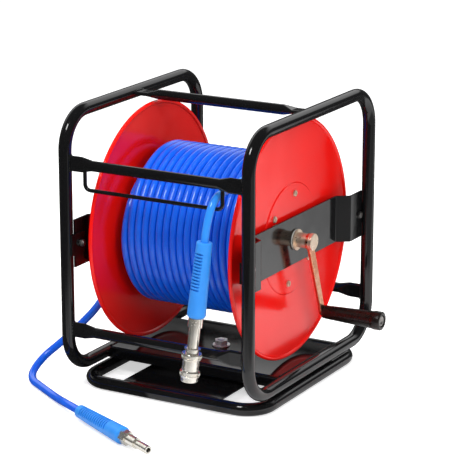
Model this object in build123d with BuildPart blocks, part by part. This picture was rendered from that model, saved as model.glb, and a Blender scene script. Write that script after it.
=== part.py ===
"""Hand-cranked air hose reel on a swivelling tube base.

Millimetres, +Z up, floor at Z = 0. X runs along the drum axle with the crank at +X,
and the hose leaves the drum towards the front, which is -Y.
"""

import os
from math import acos, cos, hypot, pi, radians, sin, sqrt, tan

from build123d import *

os.makedirs("parts", exist_ok=True)

# Tube stock
tube_d = 20.0
tube_wall = 1.5
bar_d = 16.0
bar_wall = 1.5
wire_d = 6.0

# Base loop, base plate and swivel bearing
base_wide = 310.0
base_deep = 324.0
base_bend = 40.0
base_plate_wide = 174.0
base_plate_thick = 3.0
base_plate_top = 17.0
race_outer_r = 60.0
race_wide = 22.0
race_high = 10.0
thrust_high = 2.7
thrust_inset = 4.0
swivel_gap = 0.3
pivot_d = 12.0
pivot_head_high = 7.0
pivot_flats = 19.0
pivot_washer_r = 14.0
pivot_washer_thick = 2.0
pivot_nut_high = 7.5
pivot_tip = 1.5
running_fit = 0.05
press_fit = 0.02
edge_break = 1.0
cut_over = 1.0

# Frame
hoop_apart = 314.0
hoop_deep = 392.0
hoop_high = 400.0
hoop_bend = 55.0
vent_d = 5.0
turn_plate_deep = 180.0
turn_plate_thick = 3.0
turn_plate_lip = 18.0
turn_plate_bend = 4.0
plate_seat = 5.0
bar_upper_down = 72.0
bar_lower_up = 67.0
flat_wide = 24.0
flat_thick = 6.0
flat_long = 20.0
flat_left = 0.05
neck_long = 18.0
guide_left_x = -122.0
guide_right_x = 114.0
guide_drop = 38.0
guide_bend = 9.0

# Side plates that carry the axle, their lugs and bolts
strap_high = 75.0
strap_thick = 3.0
strap_inner_x = 128.5
strap_flat_y = 136.0
strap_step_y = 148.0
strap_end_clear = 1.65
strap_bend = 4.0
lug_thick = 4.0
lug_high = 32.0
lug_long = 34.0
lug_past = 4.0
lug_sink = 1.5
strap_bolt_in = 20.0
bolt_d = 6.0
bolt_flats = 10.0
bolt_head = 4.0
bolt_nut = 5.0
bolt_tip = 2.0

# Drum
disc_r = 189.0
disc_thick = 1.5
disc_x = 121.5
disc_step = 1.5
disc_step_past = 0.5
disc_step_run = 2.0
disc_step_lag = 0.6
rim_r = 3.5
barrel_r = 84.5
barrel_wall = 1.5
barrel_lip_wide = 24.5
barrel_lip = 2.0
hub_flange_r = 34.0
hub_flange_thick = 5.0
screw_ring_in = 14.5
screw_count = 6
screw_turn = 22.0
screw_d = 5.0
screw_head_r = 5.2
screw_head = 3.0
screw_taper = 20.0
screw_long = 8.0

# Axle, bushes and crank
axle_r = 10.0
stub_r = 8.0
axle_bore_r = 4.0
feed_wall = 2.0
bush_wall = 3.0
bush_flange_r = 16.0
bush_flange = 1.5
face_gap = 0.3
crank_washer_r = 16.4
crank_washer_thick = 2.0
crank_sleeve_r = 11.5
crank_sleeve_long = 17.0
arm_thick = 5.0
arm_eye_r = 12.5
arm_root_r = 7.6
arm_tip_r = 5.8
crank_throw = 131.0
crank_back = 19.5
cap_r = 13.2
cap_thick = 6.0
cap_floor = 2.0
cap_round = 1.2
pin_r = 4.0
pin_head_r = 8.0
pin_head = 3.5
pin_edge = 0.8
grip_r = 10.4
grip_wide_r = 13.6
grip_end_r = 14.6
grip_long = 101.0
grip_lead = 2.0
grip_lead_in = 1.5
grip_edge = 2.0
grip_collar = 16.0
grip_collar_rise = 4.0
grip_recess_r = 9.2
grip_recess = 5.0

# Hose
hose_d = 12.0
bend_share = 0.45
buried_layers = 3
core_left_x = -106.0
core_right_x = 108.0
core_round = 5.0
wind_turns = 15.25
wind_gap = 0.3
wind_lift = 0.1
wind_start_x = -100.0

# Working end of the hose: round the drum, through the guide and down
tail_clear = 0.6
tail_lift = 0.4
tail_from = 100.0
tail_to = 280.0
tail_step = 20.0
guide_corner = (101.0, -212.0, 340.0)
guide_turn_r = 40.0
tail_lean = (-0.092, -0.062, -0.9938)
tail_free = 61.0
guard_long = 115.0
guard_r = 11.8
guard_end_r = 14.0
guard_ribs = 11
guard_rib_pitch = 5.6
guard_rib_slot = 2.2
guard_rib_deep = 2.4
guard_plain_top = 16.0
guard_lip = 1.5
guard_round = 5.0
round_share = 0.3
ferrule_r = 11.0
ferrule_long = 14.0
neck_r = 8.5
neck_run = 33.0
collar_r = 12.0
collar_long = 2.0
socket_body_r = 10.0
socket_body_long = 49.0
nose_r = 13.0
nose_long = 7.0
socket_r = 6.6
socket_deep = 37.0
sleeve_r = 15.0
sleeve_long = 36.0
sleeve_waist_r = 12.8
sleeve_ring = 8.0

# Supply lead from the axle inlet to the male plug on the floor
inlet_r = 14.0
inlet_long = 30.0
inlet_wall = 6.0
inlet_edge = 2.0
inlet_way = (-0.10, -0.45, -0.887)
spigot_r = 7.0
spigot_off = 2.0
crimp_r = 9.0
crimp_from = 22.0
crimp_long = 22.0
lead_points = [
    (-172.0, -88.0, 105.0),
    (-196.0, -109.0, 74.0),
    (-216.0, -121.0, 52.0),
    (-243.0, -147.0, 24.0),
    (-237.0, -190.0, 6.2),
    (-192.0, -218.0, 6.2),
    (-146.0, -247.0, 6.2),
    (-104.2, -279.1, 13.8),
    (-73.8, -294.3, 13.8),
]
lead_first = 48.0
lead_guard_r = 10.0
lead_guard_end_r = 13.4
lead_guard_long = 124.5
plug_hex = 19.0
plug_hex_long = 14.0
plug_body_r = 8.0
plug_body_long = 22.0
plug_waist_r = 5.6
plug_waist_long = 9.0
plug_tip_r = 6.3
plug_tip_long = 22.0
plug_bore_r = 3.6
plug_bore_deep = 40.0

# Derived places
race_inner_r = race_outer_r - race_wide
disc_step_r = barrel_r + disc_step_past
barrel_lip_r = barrel_r - barrel_lip_wide
screw_ring_r = barrel_r - screw_ring_in
core_r = barrel_r + buried_layers * hose_d * sqrt(3) / 2
wind_pitch = hose_d + wind_gap
turn_under = base_plate_top + 2 * race_high + thrust_high + swivel_gap
turn_top = turn_under + turn_plate_thick
hoop_foot_z = turn_under - plate_seat
hoop_top_z = hoop_foot_z + hoop_high
axle_z = hoop_foot_z + hoop_high / 2
hoop_x = hoop_apart / 2
hoop_y = hoop_deep / 2
tube_r = tube_d / 2
bar_r = bar_d / 2
hose_r = hose_d / 2
bar_upper_z = hoop_top_z - bar_upper_down
bar_lower_z = hoop_foot_z + bar_lower_up
strap_outer_x = strap_inner_x + strap_thick
lug_outer_x = hoop_x - tube_r + lug_sink
lug_inner_x = lug_outer_x - lug_thick
flange_outer_x = lug_outer_x + strap_thick
strap_end_y = hoop_y - sqrt(tube_r**2 - (hoop_x - flange_outer_x) ** 2) - strap_end_clear
strap_bolt_y = hoop_y - strap_bolt_in
disc_out_x = disc_x + disc_thick
bush_out_x = strap_outer_x + bush_flange
washer_x = bush_out_x + face_gap
sleeve_x = washer_x + crank_washer_thick
arm_x = sleeve_x + crank_sleeve_long
cap_x = arm_x + arm_thick
stub_end_x = cap_x + cap_thick - cap_floor
pin_y = crank_throw * sin(radians(crank_back))
pin_z = axle_z - crank_throw * cos(radians(crank_back))
grip_x = cap_x + face_gap
grip_end_x = grip_x + grip_long
inlet_x = washer_x + crank_washer_thick
inlet_mid_x = -(inlet_x + inlet_long / 2)
wind_r = core_r + hose_r + wind_lift
axle_plane = Plane(origin=(0, 0, axle_z), x_dir=(1, 0, 0), z_dir=(0, -1, 0))
axle_line = Axis((0, 0, axle_z), (1, 0, 0))


def finish(block, name):
    block.part.label = name
    export_step(block.part, f"parts/{name}.step")
    print(f"{name}: {len(block.part.solids())} solid(s), {block.part.volume:.0f} mm3")


def shifted(points, amount):
    """Offset a polyline sideways by a set amount, with mitred corners."""
    moved = []
    for i, (x, y) in enumerate(points):
        normals = []
        for a, b in ((i - 1, i), (i, i + 1)):
            if a >= 0 and b < len(points):
                dx, dy = points[b][0] - points[a][0], points[b][1] - points[a][1]
                run = hypot(dx, dy)
                normals.append((-dy / run, dx / run))
        nx, ny = sum(n[0] for n in normals), sum(n[1] for n in normals)
        size = hypot(nx, ny)
        nx, ny = nx / size, ny / size
        reach = amount / (nx * normals[0][0] + ny * normals[0][1])
        moved.append((x + nx * reach, y + ny * reach))
    return moved


def cord_radii(points):
    """Largest tangent arc that the two runs beside each point allow."""
    radii = []
    for a, b, c in zip(points, points[1:], points[2:]):
        u, v = Vector(*b) - Vector(*a), Vector(*c) - Vector(*b)
        turn = acos(max(-1, min(1, u.dot(v) / (u.length * v.length))))
        radii.append(bend_share * min(u.length, v.length) / tan(turn / 2))
    return radii


# Base loop: one bent tube lying on the floor, with a vent for the coating bath
with BuildPart() as base_loop:
    with BuildLine(Plane.XY.offset(tube_r)) as run:
        bx, by = base_wide / 2, base_deep / 2
        FilletPolyline((-bx, -by), (bx, -by), (bx, by), (-bx, by), radius=base_bend, close=True)
    with BuildSketch(Plane(origin=run.line @ 0, z_dir=run.line % 0)):
        Circle(tube_r)
        Circle(tube_r - tube_wall, mode=Mode.SUBTRACT)
    sweep()
    with Locations((base_wide / 2 - tube_r, 0, tube_r)):
        Cylinder(vent_d / 2, 4 * tube_wall, rotation=(0, 90, 0), mode=Mode.SUBTRACT)
finish(base_loop, "base_loop")

# Base plate: strip welded between the front and rear tubes
with BuildPart() as base_plate:
    with BuildSketch(Plane.XY.offset(base_plate_top - base_plate_thick)):
        Rectangle(base_plate_wide, base_deep)
        Circle(pivot_d / 2 + running_fit, mode=Mode.SUBTRACT)
    extrude(amount=base_plate_thick)
    with Locations((0, -base_deep / 2, tube_r), (0, base_deep / 2, tube_r)):
        Cylinder(tube_r, base_wide, rotation=(0, 90, 0), mode=Mode.SUBTRACT)
finish(base_plate, "base_plate")

# Lower race, welded to the base plate
with BuildPart() as race_lower:
    with BuildSketch(Plane.XY.offset(base_plate_top)):
        Circle(race_outer_r)
        Circle(race_inner_r, mode=Mode.SUBTRACT)
    extrude(amount=race_high)
finish(race_lower, "race_lower")

# Thrust ring that the frame turns on
with BuildPart() as thrust_ring:
    with BuildSketch(Plane.XY.offset(base_plate_top + race_high)):
        Circle(race_outer_r - thrust_inset)
        Circle(race_inner_r + thrust_inset, mode=Mode.SUBTRACT)
    extrude(amount=thrust_high)
finish(thrust_ring, "thrust_ring")

# Pivot bolt with its head under the base plate
pivot_top = turn_top + swivel_gap + pivot_washer_thick + pivot_nut_high + pivot_tip
with BuildPart() as pivot_bolt:
    with BuildSketch(Plane.XY.offset(base_plate_top - base_plate_thick - pivot_head_high)):
        RegularPolygon(pivot_flats / 2, 6, major_radius=False)
    extrude(amount=pivot_head_high)
    with BuildSketch(Plane.XY.offset(base_plate_top - base_plate_thick)):
        Circle(pivot_d / 2)
    extrude(amount=pivot_top - base_plate_top + base_plate_thick)
    chamfer(pivot_bolt.edges().group_by(Axis.Z)[-1], edge_break)
finish(pivot_bolt, "pivot_bolt")

# Washer and nut on the pivot bolt
with BuildPart() as pivot_washer:
    with BuildSketch(Plane.XY.offset(turn_top + swivel_gap)):
        Circle(pivot_washer_r)
        Circle(pivot_d / 2 + running_fit, mode=Mode.SUBTRACT)
    extrude(amount=pivot_washer_thick)
finish(pivot_washer, "pivot_washer")

with BuildPart() as pivot_nut:
    with BuildSketch(Plane.XY.offset(turn_top + swivel_gap + pivot_washer_thick)):
        RegularPolygon(pivot_flats / 2, 6, major_radius=False)
        Circle(pivot_d / 2 + press_fit, mode=Mode.SUBTRACT)
    extrude(amount=pivot_nut_high)
finish(pivot_nut, "pivot_nut")

# Upper race, welded under the turntable plate
with BuildPart() as race_upper:
    with BuildSketch(Plane.XY.offset(turn_under - race_high)):
        Circle(race_outer_r)
        Circle(race_inner_r, mode=Mode.SUBTRACT)
    extrude(amount=race_high)
finish(race_upper, "race_upper")

# Turntable plate with turned-down front and rear lips, coped to the hoops' bottom tubes
with BuildPart() as turn_plate:
    with BuildSketch(Plane.YZ.offset(-hoop_x)) as lips:
        half, low = turn_plate_deep / 2, turn_top - turn_plate_lip
        with BuildLine():
            Polyline((-half, low), (-half, turn_top), (half, turn_top), (half, low),
                     (half - turn_plate_thick, low), (half - turn_plate_thick, turn_under),
                     (-half + turn_plate_thick, turn_under), (-half + turn_plate_thick, low),
                     close=True)
        make_face()
        fillet(lips.vertices().group_by(Axis.Y)[-1], turn_plate_bend)
    extrude(amount=2 * hoop_x)
    with BuildSketch(Plane.XY.offset(turn_under)):
        Circle(pivot_d / 2 + running_fit)
    extrude(amount=turn_plate_thick, mode=Mode.SUBTRACT)
    with Locations((-hoop_x, 0, hoop_foot_z), (hoop_x, 0, hoop_foot_z)):
        Cylinder(tube_r, hoop_deep, rotation=(90, 0, 0), mode=Mode.SUBTRACT)
finish(turn_plate, "turn_plate")

# Side hoops
for side, sign in (("left", -1), ("right", 1)):
    with BuildPart() as hoop:
        with BuildLine(Plane.YZ.offset(sign * hoop_x)) as run:
            FilletPolyline((-hoop_y, hoop_foot_z), (hoop_y, hoop_foot_z), (hoop_y, hoop_top_z),
                           (-hoop_y, hoop_top_z), radius=hoop_bend, close=True)
        with BuildSketch(Plane(origin=run.line @ 0, z_dir=run.line % 0)):
            Circle(tube_r)
            Circle(tube_r - tube_wall, mode=Mode.SUBTRACT)
        sweep()
        with Locations((sign * hoop_x, 0, hoop_foot_z - tube_r)):
            Cylinder(vent_d / 2, 4 * tube_wall, mode=Mode.SUBTRACT)
    finish(hoop, f"hoop_{side}")

# Cross bars: round tube with its ends squashed flat along the hoop tube
bars = (("bar_front_upper", -hoop_y, bar_upper_z, True), ("bar_front_lower", -hoop_y, bar_lower_z, True),
        ("bar_rear_lower", hoop_y, bar_lower_z, True), ("bar_handle", 0, hoop_top_z, False))
round_end = hoop_x - tube_r - flat_long - neck_long
flat_start = hoop_x - tube_r - flat_long
bar_parts = {}
for name, bar_y, bar_z, upright in bars:
    across = (flat_thick, flat_wide) if upright else (flat_wide, flat_thick)
    with BuildPart() as bar:
        with BuildSketch(Plane(origin=(-round_end, bar_y, bar_z), x_dir=(0, 1, 0), z_dir=(1, 0, 0))):
            RectangleRounded(bar_d, bar_d, bar_r - flat_left)
        extrude(amount=2 * round_end)
        for sign in (-1, 1):
            with BuildSketch(Plane(origin=(sign * round_end, bar_y, bar_z), x_dir=(0, 1, 0),
                                   z_dir=(1, 0, 0))):
                RectangleRounded(bar_d, bar_d, bar_r - flat_left)
            with BuildSketch(Plane(origin=(sign * flat_start, bar_y, bar_z), x_dir=(0, 1, 0),
                                   z_dir=(1, 0, 0))):
                RectangleRounded(*across, flat_thick / 2 - flat_left)
            loft()
            with BuildSketch(Plane(origin=(sign * flat_start, bar_y, bar_z), x_dir=(0, 1, 0),
                                   z_dir=(1, 0, 0))):
                RectangleRounded(*across, flat_thick / 2 - flat_left)
            extrude(amount=sign * (flat_long + tube_r / 2))
            with Locations((sign * hoop_x, bar_y, bar_z)):
                Cylinder(tube_r, 4 * flat_wide, rotation=(0, 0, 0) if upright else (90, 0, 0),
                         mode=Mode.SUBTRACT)
        with Locations((0, bar_y, bar_z)):
            Cylinder(bar_r - bar_wall, 2 * round_end, rotation=(0, 90, 0), mode=Mode.SUBTRACT)
        with Locations((0, bar_y, bar_z - bar_r)):
            Cylinder(vent_d / 2, 4 * bar_wall, mode=Mode.SUBTRACT)
    finish(bar, name)
    bar_parts[name] = bar.part

# Hose guide: wire staple welded under the upper front bar
with BuildPart() as guide_wire:
    with BuildLine(Plane.XZ.offset(hoop_y)) as run:
        low = bar_upper_z - guide_drop
        FilletPolyline((guide_left_x, bar_upper_z - bar_r / 2), (guide_left_x, low), (guide_right_x, low),
                       (guide_right_x, bar_upper_z - bar_r / 2), radius=guide_bend)
    with BuildSketch(Plane(origin=run.line @ 0, z_dir=run.line % 0)):
        Circle(wire_d / 2)
    sweep()
    add(bar_parts["bar_front_upper"], mode=Mode.SUBTRACT)
finish(guide_wire, "guide_wire")

# Side plates: joggled straps that carry the axle bushes
strap_mid = [(-strap_end_y, lug_outer_x), (-strap_step_y, lug_outer_x), (-strap_flat_y, strap_inner_x),
             (strap_flat_y, strap_inner_x), (strap_step_y, lug_outer_x), (strap_end_y, lug_outer_x)]
for side, sign in (("left", -1), ("right", 1)):
    with BuildPart() as strap:
        with BuildSketch(Plane.XY.offset(axle_z - strap_high / 2)):
            with BuildLine():
                inner = [(sign * x, y) for y, x in strap_mid]
                outer = [(sign * x, y) for y, x in shifted(strap_mid, strap_thick)]
                one = FilletPolyline(*inner, radius=strap_bend)
                two = FilletPolyline(*outer, radius=strap_bend)
                Line(one @ 0, two @ 0)
                Line(one @ 1, two @ 1)
            make_face()
        extrude(amount=strap_high)
        with Locations((sign * strap_inner_x, 0, axle_z)):
            Cylinder(axle_r + running_fit + bush_wall + press_fit, 4 * strap_thick, rotation=(0, 90, 0),
                     mode=Mode.SUBTRACT)
        with Locations((sign * lug_outer_x, -strap_bolt_y, axle_z),
                       (sign * lug_outer_x, strap_bolt_y, axle_z)):
            Cylinder(bolt_d / 2 + running_fit, 4 * strap_thick, rotation=(0, 90, 0), mode=Mode.SUBTRACT)
    finish(strap, f"side_plate_{side}")

# Lugs welded to the uprights, with the bolts that hold the side plates to them
for side, sign in (("left", -1), ("right", 1)):
    for end, way in (("front", -1), ("rear", 1)):
        lug_mid_x, lug_mid_y = lug_inner_x + lug_thick / 2, hoop_y + lug_past - lug_long / 2
        with BuildPart() as lug:
            with Locations((sign * lug_mid_x, way * lug_mid_y, axle_z)):
                Box(lug_thick, lug_long, lug_high)
            with Locations((sign * hoop_x, way * hoop_y, axle_z)):
                Cylinder(tube_r, 2 * lug_high, mode=Mode.SUBTRACT)
            with Locations((sign * lug_inner_x, way * strap_bolt_y, axle_z)):
                Cylinder(bolt_d / 2 + running_fit, 4 * lug_thick, rotation=(0, 90, 0), mode=Mode.SUBTRACT)
        finish(lug, f"lug_{side}_{end}")

        with BuildPart() as bolt:
            with BuildSketch(Plane(origin=(sign * flange_outer_x, way * strap_bolt_y, axle_z),
                                   x_dir=(0, 1, 0), z_dir=(sign, 0, 0))):
                RegularPolygon(bolt_flats / 2, 6, major_radius=False)
            extrude(amount=bolt_head)
            with BuildSketch(Plane(origin=(sign * flange_outer_x, way * strap_bolt_y, axle_z),
                                   x_dir=(0, 1, 0), z_dir=(-sign, 0, 0))):
                Circle(bolt_d / 2)
            extrude(amount=strap_thick + lug_thick + bolt_nut + bolt_tip)
            with BuildSketch(Plane(origin=(sign * lug_inner_x, way * strap_bolt_y, axle_z), x_dir=(0, 1, 0),
                                   z_dir=(-sign, 0, 0))):
                RegularPolygon(bolt_flats / 2, 6, major_radius=False)
            extrude(amount=bolt_nut)
        finish(bolt, f"plate_bolt_{side}_{end}")

# Axle bushes pressed into the side plates
for side, sign in (("left", -1), ("right", 1)):
    with BuildPart() as bush:
        with BuildSketch(axle_plane):
            with BuildLine():
                bore, seat = axle_r + running_fit, axle_r + running_fit + bush_wall
                Polyline((sign * strap_inner_x, bore), (sign * strap_inner_x, seat),
                         (sign * strap_outer_x, seat), (sign * strap_outer_x, bush_flange_r),
                         (sign * bush_out_x, bush_flange_r), (sign * bush_out_x, bore), close=True)
            make_face()
        revolve(axis=axle_line)
    finish(bush, f"axle_bush_{side}")

# Axle: turned shaft with a stub at each end and an air bore from the inlet
feed_x = core_left_x / 2
inlet_end = inlet_x + inlet_long - inlet_wall
with BuildPart() as axle:
    with BuildSketch(axle_plane):
        with BuildLine():
            Polyline((-inlet_end, axle_bore_r), (-inlet_end, stub_r), (-inlet_x, stub_r), (-inlet_x, axle_r),
                     (sleeve_x, axle_r), (sleeve_x, stub_r), (stub_end_x, stub_r), (stub_end_x, 0),
                     (feed_x + axle_bore_r, 0), (feed_x + axle_bore_r, axle_bore_r), close=True)
        make_face()
    revolve(axis=axle_line)
    with Locations((feed_x, 0, axle_z + axle_r / 2)):
        Cylinder(axle_bore_r, axle_r + 2 * cut_over, mode=Mode.SUBTRACT)
finish(axle, "axle")

# Hub flanges welded on the axle behind each disc
for side, sign in (("left", -1), ("right", 1)):
    with BuildPart() as hub_flange:
        with BuildSketch(Plane(origin=(sign * disc_x, 0, axle_z), x_dir=(0, 1, 0), z_dir=(-sign, 0, 0))):
            Circle(hub_flange_r)
            Circle(axle_r + press_fit, mode=Mode.SUBTRACT)
        extrude(amount=hub_flange_thick)
        chamfer(hub_flange.edges().filter_by(GeomType.CIRCLE).sort_by(SortBy.RADIUS)[-1], edge_break)
    finish(hub_flange, f"hub_flange_{side}")

# Drum barrel with inturned ends, drilled for the disc screws and the feed nipple
with BuildPart() as barrel:
    with BuildSketch(axle_plane):
        with BuildLine():
            tip = disc_x - barrel_lip
            Polyline((-disc_x, barrel_lip_r), (-disc_x, barrel_r), (disc_x, barrel_r), (disc_x, barrel_lip_r),
                     (tip, barrel_lip_r), (tip, barrel_r - barrel_wall), (-tip, barrel_r - barrel_wall),
                     (-tip, barrel_lip_r), close=True)
        make_face()
    revolve(axis=axle_line)
    with BuildSketch(Plane(origin=(-disc_x - cut_over, 0, axle_z), x_dir=(0, 1, 0), z_dir=(1, 0, 0))):
        with PolarLocations(screw_ring_r, screw_count, start_angle=screw_turn):
            Circle(screw_d / 2 + running_fit)
    extrude(amount=2 * (disc_x + cut_over), mode=Mode.SUBTRACT)
finish(barrel, "drum_barrel")

# Feed nipple that brings air from the axle to the first turn of hose
with BuildPart() as feed_nipple:
    with BuildSketch(Plane.XY.offset(axle_z)):
        with Locations((feed_x, 0)):
            Circle(axle_bore_r + feed_wall)
            Circle(axle_bore_r, mode=Mode.SUBTRACT)
    extrude(amount=barrel_r)
    with BuildSketch(axle_plane):
        with BuildLine():
            edge, wide = barrel_r - barrel_wall, 2 * (axle_bore_r + feed_wall)
            Polyline((feed_x - wide, edge), (feed_x - wide, 2 * barrel_r), (feed_x + wide, 2 * barrel_r),
                     (feed_x + wide, edge), close=True)
        make_face()
    revolve(axis=axle_line, mode=Mode.SUBTRACT)
    with Locations((feed_x, 0, axle_z)):
        Cylinder(axle_r, 8 * axle_bore_r, rotation=(0, 90, 0), mode=Mode.SUBTRACT)
finish(feed_nipple, "feed_nipple")

# Drum discs: pressed sheet with a shallow raised centre and a rolled rim
for side, sign in (("left", -1), ("right", 1)):
    with BuildPart() as disc:
        with BuildSketch(axle_plane) as section:
            with BuildLine():
                flat_x = disc_x - disc_step
                rim_y = disc_r - rim_r
                Polyline((sign * disc_x, axle_r + running_fit), (sign * disc_x, disc_step_r),
                         (sign * flat_x, disc_step_r + disc_step_run), (sign * flat_x, rim_y),
                         (sign * (flat_x + disc_thick), rim_y),
                         (sign * (flat_x + disc_thick), disc_step_r + disc_step_run + disc_step_lag),
                         (sign * disc_out_x, disc_step_r + disc_step_lag),
                         (sign * disc_out_x, axle_r + running_fit), close=True)
            make_face()
            with Locations((sign * (flat_x + disc_thick / 2), rim_y)):
                Circle(rim_r)
        revolve(axis=axle_line)
        with BuildSketch(Plane(origin=(sign * disc_x - 2 * disc_thick, 0, axle_z), x_dir=(0, 1, 0),
                               z_dir=(1, 0, 0))):
            with PolarLocations(screw_ring_r, screw_count, start_angle=screw_turn):
                Circle(screw_d / 2 + running_fit)
        extrude(amount=4 * disc_thick, mode=Mode.SUBTRACT)
    finish(disc, f"disc_{side}")

    with BuildPart() as screws:
        with BuildSketch(Plane(origin=(sign * disc_out_x, 0, axle_z), x_dir=(0, 1, 0), z_dir=(1, 0, 0))):
            with PolarLocations(screw_ring_r, screw_count, start_angle=screw_turn):
                Circle(screw_head_r)
        extrude(amount=sign * screw_head, taper=screw_taper)
        with BuildSketch(Plane(origin=(sign * disc_out_x, 0, axle_z), x_dir=(0, 1, 0), z_dir=(1, 0, 0))):
            with PolarLocations(screw_ring_r, screw_count, start_angle=screw_turn):
                Circle(screw_d / 2)
        extrude(amount=-sign * screw_long)
    finish(screws, f"disc_screws_{side}")

# Crank: washer, spacer sleeve, tapered arm and end cap on the axle stub
with BuildPart() as crank_washer:
    with BuildSketch(Plane(origin=(washer_x, 0, axle_z), x_dir=(0, 1, 0), z_dir=(1, 0, 0))):
        Circle(crank_washer_r)
        Circle(axle_r + press_fit, mode=Mode.SUBTRACT)
    extrude(amount=crank_washer_thick)
finish(crank_washer, "crank_washer")

with BuildPart() as crank_sleeve:
    with BuildSketch(Plane(origin=(sleeve_x, 0, axle_z), x_dir=(0, 1, 0), z_dir=(1, 0, 0))):
        Circle(crank_sleeve_r)
        Circle(stub_r + press_fit, mode=Mode.SUBTRACT)
    extrude(amount=crank_sleeve_long)
finish(crank_sleeve, "crank_sleeve")

with BuildPart() as crank_arm:
    with BuildSketch(Plane(origin=(arm_x, 0, axle_z), x_dir=(0, 1, 0), z_dir=(1, 0, 0))):
        Circle(arm_root_r)
        with Locations((pin_y, pin_z - axle_z)):
            Circle(arm_tip_r)
        make_hull()
        Circle(arm_eye_r)
        Circle(stub_r + press_fit, mode=Mode.SUBTRACT)
        with Locations((pin_y, pin_z - axle_z)):
            Circle(pin_r + press_fit, mode=Mode.SUBTRACT)
    extrude(amount=arm_thick)
finish(crank_arm, "crank_arm")

with BuildPart() as crank_cap:
    with BuildSketch(Plane(origin=(cap_x, 0, axle_z), x_dir=(0, 1, 0), z_dir=(1, 0, 0))):
        Circle(cap_r)
    extrude(amount=cap_thick)
    fillet(crank_cap.edges().group_by(Axis.X)[-1], cap_round)
    with BuildSketch(Plane(origin=(cap_x, 0, axle_z), x_dir=(0, 1, 0), z_dir=(1, 0, 0))):
        Circle(stub_r + press_fit)
    extrude(amount=cap_thick - cap_floor, mode=Mode.SUBTRACT)
finish(crank_cap, "crank_cap")

# Crank pin: riveted in the arm, with a head that keeps the grip on
pin_head_x = grip_end_x - grip_recess + face_gap
with BuildPart() as crank_pin:
    with BuildSketch(Plane(origin=(arm_x, pin_y, pin_z), x_dir=(0, 1, 0), z_dir=(1, 0, 0))):
        Circle(pin_r)
    extrude(amount=pin_head_x + pin_head - arm_x)
    with BuildSketch(Plane(origin=(pin_head_x, pin_y, pin_z), x_dir=(0, 1, 0), z_dir=(1, 0, 0))):
        Circle(pin_head_r)
    extrude(amount=pin_head)
    chamfer(crank_pin.edges().group_by(Axis.X)[-1], pin_edge)
finish(crank_pin, "crank_pin")

# Grip: spins on the crank pin
with BuildPart() as grip:
    with BuildSketch(Plane(origin=(0, pin_y, pin_z), x_dir=(1, 0, 0), z_dir=(0, -1, 0))):
        with BuildLine():
            bore = pin_r + running_fit
            Polyline((grip_x, bore), (grip_x, grip_r - grip_lead_in), (grip_x + grip_lead, grip_r),
                     (grip_end_x - grip_collar, grip_wide_r),
                     (grip_end_x - grip_collar + grip_collar_rise, grip_end_r),
                     (grip_end_x - grip_edge, grip_end_r), (grip_end_x, grip_end_r - grip_edge),
                     (grip_end_x, grip_recess_r),
                     (grip_end_x - grip_recess, grip_recess_r), (grip_end_x - grip_recess, bore), close=True)
        make_face()
    revolve(axis=Axis((0, pin_y, pin_z), (1, 0, 0)))
finish(grip, "grip")

# Wound hose: a plain core for the buried layers and one unbroken tube for the outer layer
with BuildPart() as wind_core:
    with BuildSketch(axle_plane) as section:
        with BuildLine():
            Polyline((core_left_x, barrel_r), (core_left_x, core_r), (core_right_x, core_r),
                     (core_right_x, barrel_r), close=True)
        make_face()
        fillet(section.vertices().group_by(Axis.Y)[-1], core_round)
    revolve(axis=axle_line)
finish(wind_core, "wind_core")


def on_helix(turns):
    """Point and travel direction on the outer layer after a number of turns."""
    angle = 2 * pi * turns
    point = Vector(wind_start_x + wind_pitch * turns, -wind_r * cos(angle), axle_z - wind_r * sin(angle))
    travel = Vector(wind_pitch, 2 * pi * wind_r * sin(angle), -2 * pi * wind_r * cos(angle))
    return point, travel.normalized()


with BuildPart() as hose_winding:
    with BuildLine() as run:
        first, way = on_helix(0)
        Line(first - way * hose_d, first)
        for quarter in range(round(4 * wind_turns)):
            p, u = on_helix(quarter / 4)
            q, v = on_helix((quarter + 1) / 4)
            gap = q - p
            along = gap.dot(u + v)
            bend = 2 * (u.dot(v) - 1)
            reach = (along - sqrt(along**2 - bend * gap.dot(gap))) / bend
            near, far = p + u * reach, q - v * reach
            joint = (near + far) * 0.5
            TangentArc(p, joint, tangent=u)
            TangentArc(joint, q, tangent=(far - near).normalized())
        last, way = on_helix(wind_turns)
        Line(last, last + way * hose_d)
    with BuildSketch(Plane(origin=run.line @ 0, z_dir=run.line % 0)):
        Circle(hose_r)
    sweep()
finish(hose_winding, "hose_winding")
per_turn = 48
samples = [on_helix(i / per_turn)[0] for i in range(round(per_turn * wind_turns) + 1)]
nearest = min((samples[i] - samples[j]).length for i in range(0, len(samples), per_turn // 6)
              for j in range(i + per_turn // 2, min(i + 2 * per_turn, len(samples))))
print(f"winding: {wind_turns} turns, least gap to itself {nearest - hose_d:.2f} mm, "
      f"length {run.wire().length:.0f} mm, volume / (section x length) "
      f"{hose_winding.part.volume / (pi * hose_r**2 * run.wire().length):.4f}")

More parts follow.
